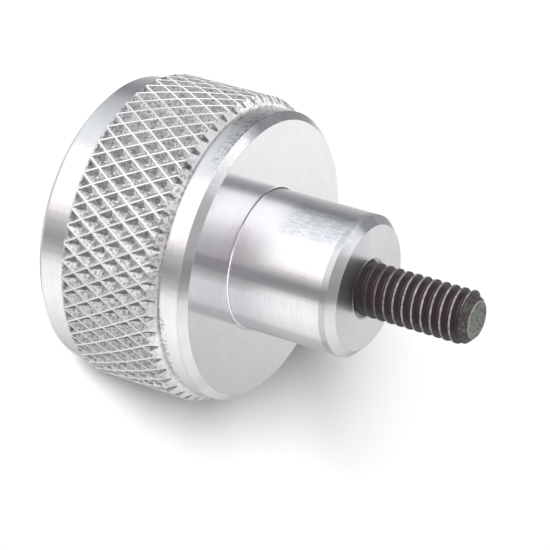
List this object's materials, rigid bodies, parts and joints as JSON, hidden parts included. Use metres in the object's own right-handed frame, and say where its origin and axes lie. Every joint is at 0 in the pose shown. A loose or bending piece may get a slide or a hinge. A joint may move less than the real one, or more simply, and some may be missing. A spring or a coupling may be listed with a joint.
{
  "type": "knurled lock knob",
  "caption": "Round lock knob with a diamond-knurled head, a smooth boss and a short threaded stud, turned by hand to clamp a part in place.",
  "frame": {"origin": "centre of the head's flat back face, which the knob stands on", "axes": "+Z along the stud, from the head's back face to the stud's tip; X and Y lie in the back face and are alike"},
  "size_m": [0.0232, 0.0232, 0.0303],
  "materials": {
    "turned_aluminium": "bright turned aluminium, satin, with fine turning marks",
    "black_steel": "black oxide steel with bright worn thread crests"
  },
  "bodies": {
    "root": {"knob": "turned_aluminium", "set_screw": "black_steel"}
  },
  "joints": []
}
